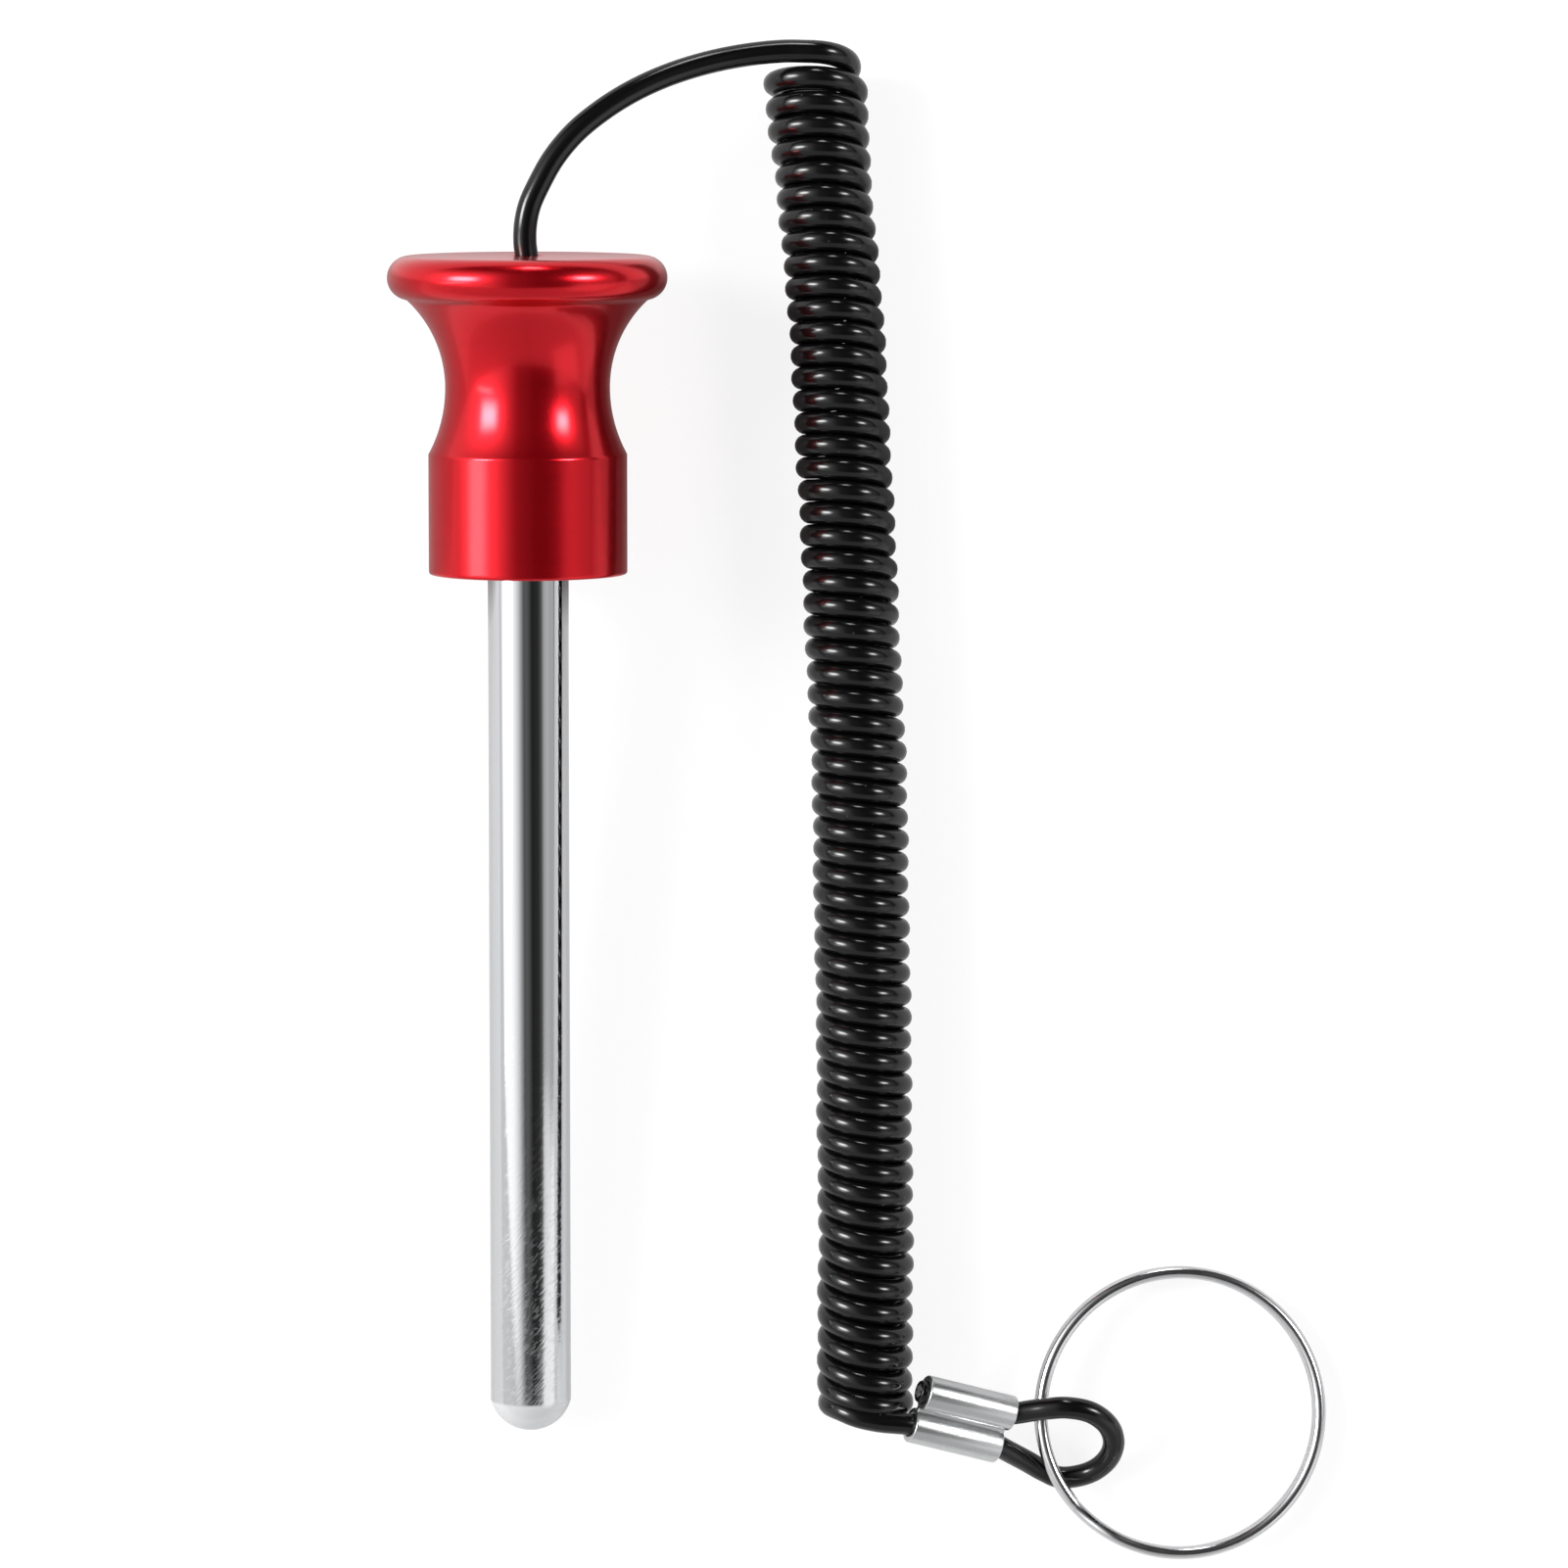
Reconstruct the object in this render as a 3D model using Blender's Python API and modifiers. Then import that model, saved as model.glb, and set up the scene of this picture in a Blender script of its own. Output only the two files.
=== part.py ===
"""Weight stack pin with a coiled lanyard.

The set lies on the floor: knob towards +Y, pin tip towards -Y, lanyard on the
+X side. Sizes are in millimetres and are turned into metres at the last step.
"""

import math

import bpy
from mathutils import Matrix, Vector

MM = 0.001

# ---- sizes
CLEARANCE = 0.3

KNOB_HEIGHT = 39.2
LIP_DIAMETER = 34.5
LIP_ROUND = 2.7
LIP_OVERHANG = 2.35
WAIST_DIAMETER = 20.3
WAIST_DEPTH = 16.2
SKIRT_DIAMETER = 24.5
SKIRT_HEIGHT = 14.9
KNOB_EDGE = 0.4
KNOB_TOP_WALL = 6.0

PIN_DIAMETER = 10.0
PIN_EXPOSED = 107.0
DOME_HEIGHT = 3.9
SHANK_DIAMETER = 8.0
SHANK_LENGTH = 16.0
SHANK_EDGE = 0.5

MAGNET_DIAMETER = 19.4
MAGNET_THICKNESS = 4.4
MAGNET_EDGE = 0.3

CABLE_DIAMETER = 2.75
COIL_DIAMETER = 12.0
STOP_WALL = 1.5
STOP_LENGTH = 8.0

FERRULE_LENGTH = 12.0
FERRULE_WALL = 0.52
FERRULE_WEB = 2.0
FERRULE_PINCH = 0.4
CABLE_END = 0.8

RING_DIAMETER = 36.5
RING_WIRE = 1.5
RING_PLAY = 0.12
RING_JOG = math.radians(22)

# ---- what follows from them
PIN_R = PIN_DIAMETER / 2
CABLE_R = CABLE_DIAMETER / 2
COIL_R = COIL_DIAMETER / 2
HOLE_R = CABLE_R + CLEARANCE
LENGTH = KNOB_HEIGHT + PIN_EXPOSED
DOME_START = LENGTH - DOME_HEIGHT
DOME_R = (PIN_R**2 + DOME_HEIGHT**2) / (2 * DOME_HEIGHT)
LIP_R = LIP_DIAMETER / 2 - LIP_ROUND
MAGNET_SEAT = KNOB_HEIGHT - MAGNET_THICKNESS - 2 * CLEARANCE
PIN_SEAT = MAGNET_SEAT - 1.0

# The turned axis leans, because the lip and the end of the pin's straight part
# both touch the floor.
RUN = DOME_START - LIP_ROUND
LEAN = math.atan2(LIP_R - PIN_R, RUN) + math.asin(
    LIP_ROUND / math.hypot(RUN, LIP_R - PIN_R)
)
AXIS = Vector((0, math.cos(LEAN), math.sin(LEAN)))
FACE = Vector(
    (
        0,
        (
            (LENGTH - DOME_R + LIP_ROUND) * AXIS.y
            + DOME_R
            - LIP_R * AXIS.z
            - LIP_ROUND
        )
        / 2,
        LIP_ROUND * AXIS.z + LIP_R * AXIS.y + LIP_ROUND,
    )
)


# ---- scene and materials
for old in list(bpy.data.objects):
    bpy.data.objects.remove(old, do_unlink=True)

scene = bpy.context.scene
scene.unit_settings.system = "METRIC"
scene.unit_settings.length_unit = "MILLIMETERS"
pin_set = bpy.data.collections.new("weight_stack_pin")
scene.collection.children.link(pin_set)


def material(name, colour, metallic, roughness):
    made = bpy.data.materials.new(name)
    made.diffuse_color = colour
    made.use_nodes = True
    shader = made.node_tree.nodes["Principled BSDF"]
    shader.inputs["Base Color"].default_value = colour
    shader.inputs["Metallic"].default_value = metallic
    shader.inputs["Roughness"].default_value = roughness
    return made


RED = material("red_anodised_aluminium", (0.55, 0.01, 0.02, 1), 1.0, 0.3)
CHROME = material("chromed_steel", (0.7, 0.7, 0.7, 1), 1.0, 0.08)
NICKEL = material("nickel_plated_magnet", (0.5, 0.5, 0.5, 1), 1.0, 0.25)
STEEL = material("plain_steel", (0.35, 0.35, 0.35, 1), 1.0, 0.4)
BLACK = material("black_cable_jacket", (0.01, 0.01, 0.01, 1), 0.0, 0.25)
ALUMINIUM = material("drawn_aluminium", (0.6, 0.6, 0.6, 1), 1.0, 0.35)
RING_CHROME = material("polished_ring_wire", (0.65, 0.65, 0.65, 1), 1.0, 0.1)


# ---- tools
def add(name, data, surface):
    obj = bpy.data.objects.new(name, data)
    pin_set.objects.link(obj)
    obj.data.materials.append(surface)
    return obj


knob_axis = bpy.data.objects.new("turned_axis", None)
pin_set.objects.link(knob_axis)
knob_axis.empty_display_size = 10 * MM
knob_axis.location = FACE * MM
knob_axis.rotation_euler = (LEAN - math.pi / 2, 0, 0)


def turned(name, profile, steps, surface, closed):
    """A body turned about the leaning axis. The profile holds (radius, depth
    below the knob's top face) and runs down the outer side."""
    mesh = bpy.data.meshes.new(name)
    edges = [(i, i + 1) for i in range(len(profile) - 1)]
    if closed:
        edges.append((len(profile) - 1, 0))
    mesh.from_pydata([(r * MM, 0, -depth * MM) for r, depth in profile], edges, [])
    obj = add(name, mesh, surface)
    screw = obj.modifiers.new("turn", "SCREW")
    screw.axis = "Z"
    screw.steps = screw.render_steps = steps
    screw.use_merge_vertices = True
    screw.merge_threshold = 0.00001
    screw.use_smooth_shade = False
    obj.parent = knob_axis
    return obj


def bead(radius, centre_r, centre_depth, angles):
    """Points of a circle in the profile: 0 degrees points out, 90 to the top face."""
    return [
        (
            centre_r + radius * math.cos(math.radians(a)),
            centre_depth - radius * math.sin(math.radians(a)),
        )
        for a in angles
    ]


def cove(waist_r, waist_depth, end_r, end_depth, steps):
    """Points of a hollow arc from its end down, or up, to the waist, where it
    runs along the axis. The waist itself is left out."""
    out, along = end_r - waist_r, end_depth - waist_depth
    radius = (out**2 + along**2) / (2 * out)
    whole = math.asin(min(1.0, abs(along) / radius))
    found = []
    for k in range(steps, 0, -1):
        a = whole * k / steps
        found.append(
            (
                waist_r + radius * (1 - math.cos(a)),
                waist_depth + math.copysign(radius * math.sin(a), along),
            )
        )
    return found


def on_axis(depth, out=0.0):
    """The point on the turned axis at this depth below the top face."""
    return FACE - AXIS * depth + Vector((out, 0, 0))


def smooth(points, per_span):
    """A curve through all the points, as a list of positions."""
    p = [Vector(q) for q in points]
    p = [2 * p[0] - p[1]] + p + [2 * p[-1] - p[-2]]
    found = []
    for a, b, c, d in zip(p, p[1:], p[2:], p[3:]):
        t1, t2, t3 = ((q - r).length ** 0.5 for q, r in ((b, a), (c, b), (d, c)))
        m1 = (c - b) + t2 * ((b - a) / t1 - (c - a) / (t1 + t2))
        m2 = (c - b) + t2 * ((d - c) / t3 - (d - b) / (t2 + t3))
        for k in range(per_span):
            t = k / per_span
            found.append(
                (2 * t**3 - 3 * t**2 + 1) * b
                + (t**3 - 2 * t**2 + t) * m1
                + (3 * t**2 - 2 * t**3) * c
                + (t**3 - t**2) * m2
            )
    return found + [p[-2]]


def wire(name, path, radius, rounds, surface):
    """A closed tube along the path."""
    data = bpy.data.curves.new(name, "CURVE")
    data.dimensions = "3D"
    data.twist_mode = "MINIMUM"
    line = data.splines.new("POLY")
    line.points.add(len(path) - 1)
    for point, place in zip(line.points, path):
        point.co = (*(Vector(place) * MM), 1)
    line.use_smooth = True
    data.bevel_depth = radius * MM
    data.bevel_resolution = rounds
    data.use_fill_caps = True
    return add(name, data, surface)


# ---- knob: lip bead, long cove, short skirt, bored through and counterbored
SKIRT_R = SKIRT_DIAMETER / 2
SKIRT_TOP = KNOB_HEIGHT - SKIRT_HEIGHT
CREASE_R = LIP_DIAMETER / 2 - LIP_OVERHANG
crease_angle = math.degrees(math.acos((CREASE_R - LIP_R) / LIP_ROUND))
crease_depth = LIP_ROUND * (1 + math.sin(math.radians(crease_angle)))
waist_r = WAIST_DIAMETER / 2
magnet_bore = MAGNET_DIAMETER / 2 + CLEARANCE
shoulder_bore = PIN_R + CLEARANCE
thread_bore = SHANK_DIAMETER / 2 + CLEARANCE

turned(
    "knob",
    [(LIP_R, 0.0)]
    + bead(
        LIP_ROUND,
        LIP_R,
        LIP_ROUND,
        (66, 44, 20, -math.degrees(LEAN), -30, -56, -crease_angle),
    )
    + cove(waist_r, WAIST_DEPTH, CREASE_R, crease_depth, 8)[1:]
    + [(waist_r, WAIST_DEPTH)]
    + cove(waist_r, WAIST_DEPTH, SKIRT_R - KNOB_EDGE / 2, SKIRT_TOP, 5)[::-1]
    + [
        (SKIRT_R, SKIRT_TOP + KNOB_EDGE / 2),
        (SKIRT_R, KNOB_HEIGHT - KNOB_EDGE),
        (SKIRT_R - KNOB_EDGE, KNOB_HEIGHT),
        (magnet_bore, KNOB_HEIGHT),
        (magnet_bore, MAGNET_SEAT),
        (shoulder_bore, MAGNET_SEAT),
        (shoulder_bore, PIN_SEAT),
        (thread_bore, PIN_SEAT),
        (thread_bore, KNOB_TOP_WALL),
        (HOLE_R, KNOB_TOP_WALL),
        (HOLE_R, KNOB_EDGE),
        (HOLE_R + KNOB_EDGE, 0.0),
    ],
    48,
    RED,
    closed=True,
)

# ---- pin: threaded shank in the knob, shoulder, plain run, domed end
shank_r = SHANK_DIAMETER / 2
shoulder = PIN_SEAT + CLEARANCE
shank_top = shoulder - SHANK_LENGTH
dome_edge = math.degrees(math.asin(PIN_R / DOME_R))
turned(
    "pin",
    [
        (0, shank_top),
        (shank_r - SHANK_EDGE, shank_top),
        (shank_r, shank_top + SHANK_EDGE),
        (shank_r, shoulder),
        (PIN_R, shoulder),
        (PIN_R, DOME_START),
        *(
            (
                DOME_R * math.sin(math.radians(dome_edge * share)),
                LENGTH - DOME_R + DOME_R * math.cos(math.radians(dome_edge * share)),
            )
            for share in (0.8, 0.6, 0.4, 0.2)
        ),
        (0, LENGTH),
    ],
    48,
    CHROME,
    closed=False,
)

# ---- ring magnet in the knob's recess
magnet_r = MAGNET_DIAMETER / 2
magnet_top = MAGNET_SEAT + CLEARANCE
magnet_low = magnet_top + MAGNET_THICKNESS
turned(
    "magnet_ring",
    [
        (shoulder_bore + MAGNET_EDGE, magnet_top),
        (magnet_r - MAGNET_EDGE, magnet_top),
        (magnet_r, magnet_top + MAGNET_EDGE),
        (magnet_r, magnet_low - MAGNET_EDGE),
        (magnet_r - MAGNET_EDGE, magnet_low),
        (shoulder_bore + MAGNET_EDGE, magnet_low),
        (shoulder_bore, magnet_low - MAGNET_EDGE),
        (shoulder_bore, magnet_top + MAGNET_EDGE),
    ],
    40,
    NICKEL,
    closed=True,
)

# ---- crimped stop that holds the cable's end under the knob's top wall
stop_top = KNOB_TOP_WALL + CLEARANCE
turned(
    "cable_stop",
    [
        (HOLE_R + STOP_WALL, stop_top),
        (HOLE_R + STOP_WALL, stop_top + STOP_LENGTH),
        (HOLE_R, stop_top + STOP_LENGTH),
        (HOLE_R, stop_top),
    ],
    24,
    STEEL,
    closed=True,
)

# ---- coil: closed turns of cable, as one round body on the floor
STRAND_R = COIL_R - CABLE_R
COIL_TOP = 96.6 - CABLE_R - 0.42
COIL_LOW = -69.95 + CABLE_R + 0.38
coil_route = [
    (35.28, COIL_TOP),
    (36.08, 86.3),
    (36.78, 79.0),
    (37.44, 71.7),
    (38.03, 64.4),
    (38.52, 57.1),
    (39.28, 42.5),
    (39.96, 27.9),
    (40.75, 13.2),
    (41.14, -1.4),
    (41.36, -16.0),
    (41.58, -30.7),
    (41.72, -45.3),
    (41.68, -60.0),
    (41.74, COIL_LOW),
]
wire("cable_coil", [(x, y, COIL_R) for x, y in coil_route], COIL_R, 6, BLACK)


# ---- lead: from the stop, through the knob's top, over to the coil's first turn
def on_turn(x, y, degrees):
    """A point on the coil's strand: 0 degrees is its top, 90 its +X side."""
    a = math.radians(degrees)
    return (x + STRAND_R * math.sin(a), y, COIL_R + STRAND_R * math.cos(a))


lead = [on_axis(stop_top + STOP_LENGTH - 0.5), on_axis(9.0), on_axis(4.0)] + smooth(
    [
        on_axis(0.0, -0.08),
        on_axis(-1.6, -0.26),
        (-0.2, 75.9, 17.78),
        (0.3, 78.3, 17.88),
        (1.5, 81.0, 17.87),
        (3.3, 84.2, 17.67),
        (5.9, 87.35, 17.2),
        (9.1, 90.05, 16.45),
        (12.7, 92.4, 15.5),
        (17.0, 94.5, 14.25),
        (22.0, 96.2, 12.85),
        (27.0, 97.3, 11.55),
        (31.5, 97.8, 10.8),
        on_turn(35.0, 97.73, 0),
        on_turn(35.0, 97.45, 35),
        on_turn(35.05, 97.0, 70),
        on_turn(35.1, 96.6, 105),
    ],
    2,
)
wire("cable_lead", lead, CABLE_R, 2, BLACK)

# ---- ferrule: two barrels pressed together, sloping down from the coil
BARREL_R = HOLE_R + FERRULE_WALL
HALF_APART = BARREL_R + FERRULE_PINCH / 2
ferrule_mid = Vector((53.55, -71.8, 8.55))
ferrule_dir = Vector((10.64, -2.94, -4.0)).normalized()
across = Vector((1.7, 4.7, 1.9))
across = (across - ferrule_dir * across.dot(ferrule_dir)).normalized()
third = ferrule_dir.cross(across)
ferrule_place = Matrix(
    (
        (across.x, third.x, ferrule_dir.x, ferrule_mid.x * MM),
        (across.y, third.y, ferrule_dir.y, ferrule_mid.y * MM),
        (across.z, third.z, ferrule_dir.z, ferrule_mid.z * MM),
        (0, 0, 0, 1),
    )
)

# The outline is an hourglass: each barrel's circle, open where the web joins it.
opening = math.asin(FERRULE_WEB / 2 / BARREL_R)
outline = []
for side in (1, -1):
    for k in range(15):
        a = -math.pi + opening + k * 2 * (math.pi - opening) / 14
        outline.append(
            (
                side * (HALF_APART + BARREL_R * math.cos(a)),
                side * BARREL_R * math.sin(a),
            )
        )
bores = [
    [
        (
            side * HALF_APART + HOLE_R * math.cos(k * math.pi / 8),
            HOLE_R * math.sin(k * math.pi / 8),
        )
        for k in range(16)
    ]
    for side in (1, -1)
]
section = bpy.data.curves.new("ferrule", "CURVE")
section.dimensions = "2D"
section.fill_mode = "BOTH"
section.extrude = FERRULE_LENGTH / 2 * MM
for loop in [outline] + bores:
    line = section.splines.new("POLY")
    line.points.add(len(loop) - 1)
    for point, (x, y) in zip(line.points, loop):
        point.co = (x * MM, y * MM, 0, 1)
    line.use_cyclic_u = True
ferrule = add("ferrule", section, ALUMINIUM)
ferrule.matrix_world = ferrule_place

# ---- tail: the coil's last turn, lower barrel, end loop, upper barrel
LOOP_MID = Vector((66.69, -75.08, 5.1))
LOOP_R = 6.0
LOOP_ROLL = math.radians(38.2)


def on_loop(degrees):
    """A point of the end loop: 0 degrees is its far end, 90 its raised side."""
    a = math.radians(degrees)
    return LOOP_MID + LOOP_R * (
        math.cos(a) * Vector((1, 0, 0))
        + math.sin(a) * Vector((0, math.cos(LOOP_ROLL), math.sin(LOOP_ROLL)))
    )


def in_barrel(side, along):
    """A point on a barrel's axis: side -1 is the lower one, along runs from -1 to 1."""
    return (
        ferrule_mid
        + across * side * HALF_APART
        + ferrule_dir * along * FERRULE_LENGTH / 2
    )


tail = (
    smooth(
        [
            on_turn(41.75, -69.95, 262),
            on_turn(41.75, -70.2, 290),
            on_turn(41.75, -70.65, 320),
            on_turn(41.75, -71.3, 345),
            (43.2, -71.9, 10.5),
            in_barrel(-1, -1),
        ],
        2,
    )
    + smooth(
        [
            in_barrel(-1, 1),
            (59.7, -76.3, 4.45),
            (61.9, -77.6, 2.85),
            (64.05, -78.9, 1.72),
            on_loop(-95),
            on_loop(-60),
            on_loop(-30),
            on_loop(0),
            on_loop(30),
            on_loop(60),
            on_loop(90),
            (64.6, -70.5, 8.45),
            (62.5, -70.82, 7.78),
            (60.9, -71.12, 7.38),
            in_barrel(1, 1),
        ],
        2,
    )
    + [in_barrel(1, -1), in_barrel(1, -1) - ferrule_dir * CABLE_END]
)
wire("cable_tail", tail, CABLE_R, 2, BLACK)

# ---- split ring: one wire wound in two close turns, threaded through the loop.
# It lies with its far side on the floor and its near side on the loop's cable.
wire_r = RING_WIRE / 2
ring_r = RING_DIAMETER / 2 - wire_r
ring_pitch = RING_WIRE + RING_PLAY
ring_slope = Vector((-0.9035, -0.4286, 0))
LINK_TURN = math.radians(25)
RING_HIGH = 4.0
RING_LOW = wire_r + 0.05
ring_tilt = math.asin((RING_HIGH - RING_LOW) / (2 * ring_r))

up_slope = ring_slope * math.cos(ring_tilt) + Vector((0, 0, math.sin(ring_tilt)))
level = Vector((0, 0, 1)).cross(ring_slope)
normal = up_slope.cross(level)
to_link = up_slope * math.cos(LINK_TURN) - level * math.sin(LINK_TURN)
tangent = normal.cross(to_link)
LINK = Vector(
    (
        63.6,
        -71.55,
        (RING_HIGH + RING_LOW) / 2
        + ring_r * to_link.z
        + normal.z * ring_pitch / 2,
    )
)

hinge = bpy.data.objects.new("ring_hinge", None)
pin_set.objects.link(hinge)
hinge.empty_display_size = 10 * MM
hinge.matrix_world = Matrix(
    (
        (to_link.x, tangent.x, normal.x, LINK.x * MM),
        (to_link.y, tangent.y, normal.y, LINK.y * MM),
        (to_link.z, tangent.z, normal.z, LINK.z * MM),
        (0, 0, 0, 1),
    )
)

GAP_AT = math.radians(52)
SPANS = 100
ring_path = []
for k in range(SPANS + 1):
    a = RING_JOG / 2 + k * (4 * math.pi - RING_JOG) / SPANS
    t = min(1, max(0, (a - 2 * math.pi + RING_JOG / 2) / RING_JOG))
    height = ring_pitch * (t * t * (3 - 2 * t) - 0.5)
    ring_path.append(
        (
            ring_r * (math.cos(a + GAP_AT) - 1),
            ring_r * math.sin(a + GAP_AT),
            height,
        )
    )
split_ring = wire("split_ring", ring_path, wire_r, 2, RING_CHROME)
split_ring.parent = hinge

# ---- turned pieces are shaded round, with their edges kept
for obj in pin_set.objects:
    if obj.type == "MESH":
        for modifier in obj.modifiers:
            if modifier.type == "SCREW":
                modifier.use_smooth_shade = True

bpy.context.view_layer.update()
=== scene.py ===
# %% [markdown]
# # A weight stack pin with a coiled lanyard
#
# The set is a red anodised knob on a chromed pin, a coiled black cable that
# leaves the knob's top, a pressed sleeve that closes the cable's end loop, and
# a split ring. It lies on a white table, and the camera looks straight down.
#
# All lengths are written in millimetres, because that is how such a part is
# drawn, and are turned into metres where Blender needs them.

# %% Load the frame
import math

import bpy
from mathutils import Matrix, Vector


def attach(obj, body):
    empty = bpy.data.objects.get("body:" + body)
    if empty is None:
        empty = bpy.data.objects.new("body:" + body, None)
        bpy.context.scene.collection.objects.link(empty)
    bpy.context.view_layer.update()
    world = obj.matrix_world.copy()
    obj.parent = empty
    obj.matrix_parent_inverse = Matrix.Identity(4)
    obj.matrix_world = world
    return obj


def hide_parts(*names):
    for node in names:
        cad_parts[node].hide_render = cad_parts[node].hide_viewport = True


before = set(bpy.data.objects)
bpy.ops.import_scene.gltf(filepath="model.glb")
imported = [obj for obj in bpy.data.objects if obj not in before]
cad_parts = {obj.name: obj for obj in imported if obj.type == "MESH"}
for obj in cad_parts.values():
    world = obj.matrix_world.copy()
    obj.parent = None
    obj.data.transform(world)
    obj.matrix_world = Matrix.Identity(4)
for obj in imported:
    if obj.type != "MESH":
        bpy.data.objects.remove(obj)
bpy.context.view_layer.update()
MM = 0.001
bpy.ops.object.select_all(action="DESELECT")

# %% [markdown]
# ## Sizes that several pieces share
#
# The pin and the knob are turned about one axis. That axis leans by about
# 5 degrees, because the knob's lip and the pin's end both touch the table. The
# lean follows from the two radii that touch and the run between them. FACE is
# the middle of the knob's top face. It is placed so that the knob and the pin
# together are centred on Y = 0, and the lip's lowest point is on the table.

# %% The leaning axis
LENGTH, DOME_START, PIN_R = 146.2, 142.3, 5.0
LIP_ROUND, LIP_R = 2.7, 14.55
run = DOME_START - LIP_ROUND
LEAN = math.atan2(LIP_R - PIN_R, run) + math.asin(
    LIP_ROUND / math.hypot(run, LIP_R - PIN_R)
)
AXIS = Vector((0, math.cos(LEAN), math.sin(LEAN)))
DOME_R = (PIN_R**2 + (LENGTH - DOME_START) ** 2) / (2 * (LENGTH - DOME_START))
run_in_y = (LENGTH - DOME_R + LIP_ROUND) * AXIS.y
FACE = Vector(
    (
        0,
        (run_in_y + DOME_R - LIP_R * AXIS.z - LIP_ROUND) / 2,
        LIP_ROUND * AXIS.z + LIP_R * AXIS.y + LIP_ROUND,
    )
)
print("lean in degrees:", round(math.degrees(LEAN), 2), "top face at", tuple(FACE))


def on_axis(depth, out=0.0):
    """The point on the turned axis at this depth below the knob's top face."""
    return FACE - AXIS * depth + Vector((out, 0, 0))


# %% [markdown]
# ## Three small helpers for materials
#
# Colours are written as they are seen on a screen, in hex. Blender computes
# with linear light, so one function turns them. Another adds a node with its
# settings and its links, and a third starts an empty material. That keeps each
# material short.


# %% Colour and node helpers
def linear(hex_colour):
    """A screen colour such as #c4101f as linear red, green, blue and alpha."""
    parts = [int(hex_colour[i : i + 2], 16) / 255 for i in (1, 3, 5)]
    return [
        p / 12.92 if p <= 0.04045 else ((p + 0.055) / 1.055) ** 2.4 for p in parts
    ] + [1.0]


def add_node(tree, kind, settings=None, links=None):
    """Adds a node, sets its properties and sockets, and links its sockets."""
    node = tree.nodes.new(kind)
    for key, value in (settings or {}).items():
        if isinstance(key, str) and hasattr(node, key):
            setattr(node, key, value)
        else:
            node.inputs[key].default_value = value
    for key, source in (links or {}).items():
        tree.links.new(source, node.inputs[key])
    return node


def new_material(name):
    """An empty material: its node tree, shader and output."""
    made = bpy.data.materials.new(name)
    made.use_nodes = True
    tree = made.node_tree
    tree.nodes.clear()
    output = add_node(tree, "ShaderNodeOutputMaterial")
    shader = add_node(tree, "ShaderNodeBsdfPrincipled")
    tree.links.new(shader.outputs["BSDF"], output.inputs["Surface"])
    return made, tree, shader


# %% [markdown]
# ## The camera
#
# The knob's top face shows as a very thin ellipse and its lower rim as a
# slightly fuller one. That change over 39 mm fits a camera about a metre away.
# It stands almost straight over the table, with the knob's end up. At a metre
# the 183.4 mm lens sees a square of 196 mm.

# %% Camera
bpy.ops.object.camera_add(
    location=(0.03157, 0.0210, 1.0), rotation=(-0.014, 0, 0)
)
camera = bpy.context.object
camera.name = "table_camera"
camera.data.lens = 183.4
camera.data.sensor_width = 36
camera.data.clip_start = 0.01
bpy.context.scene.camera = camera
print("camera height in mm:", camera.location.z / MM)

# %% [markdown]
# ## The cable's route
#
# The cable is one length from the stop inside the knob to its cut end at the
# sleeve. It is stiff, so it leaves the knob in one clean arc. Then come 60
# turns wound left-handed, a last turn that peels away, the sleeve's lower
# barrel, an open loop, and the upper barrel.
#
# A smooth curve through a few chosen points gives the arc and the loop. The
# turns follow a rule, so a function gives them.


# %% A smooth curve through points
def smooth(points, per_span):
    """A curve through all the points, as a list of positions."""
    p = [Vector(q) for q in points]
    p = [2 * p[0] - p[1]] + p + [2 * p[-1] - p[-2]]
    found = []
    for a, b, c, d in zip(p, p[1:], p[2:], p[3:]):
        t1, t2, t3 = ((q - r).length ** 0.5 for q, r in ((b, a), (c, b), (d, c)))
        m1 = (c - b) + t2 * ((b - a) / t1 - (c - a) / (t1 + t2))
        m2 = (c - b) + t2 * ((d - c) / t3 - (d - b) / (t2 + t3))
        for k in range(per_span):
            t = k / per_span
            found.append(
                (2 * t**3 - 3 * t**2 + 1) * b
                + (t**3 - 2 * t**2 + t) * m1
                + (3 * t**2 - 2 * t**3) * c
                + (t**3 - t**2) * m2
            )
    return found + [p[-2]]


def between(table, x):
    """Reads a table of (x, value) pairs at x, along straight lines."""
    for (x0, v0), (x1, v1) in zip(table, table[1:]):
        if (x - x0) * (x - x1) <= 0:
            return v0 + (v1 - v0) * (x - x0) / (x1 - x0)
    return table[-1][1]


# %% The coiled stretch
CABLE_R, COIL_R = 1.375, 6.0
STRAND_R = COIL_R - CABLE_R
TURNS = 59.73
STEPS_A_TURN = 30

# Where the coil's middle line runs, as (y, x).
COIL_MIDDLE = [
    (97.8, 35.0),
    (94.8, 35.28),
    (86.3, 36.08),
    (79.0, 36.78),
    (71.7, 37.44),
    (64.4, 38.03),
    (57.1, 38.52),
    (42.5, 39.28),
    (27.9, 39.96),
    (13.2, 40.75),
    (-1.4, 41.14),
    (-16.0, 41.36),
    (-30.7, 41.58),
    (-45.3, 41.72),
    (-60.0, 41.68),
    (-71.7, 41.75),
]
# How far the strand has come after so many turns, as (turn, y).
TURN_PLACES = [
    (0, 96.7),
    (0.25, 95.9),
    (0.75, 94.45),
    (1.25, 92.7),
    (4.25, 84.22),
    (10.25, 67.43),
    (19.25, 42.3),
    (29.25, 13.99),
    (41.25, -18.9),
    (50.25, -43.6),
    (58.25, -66.58),
    (TURNS, -70.55),
]
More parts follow.
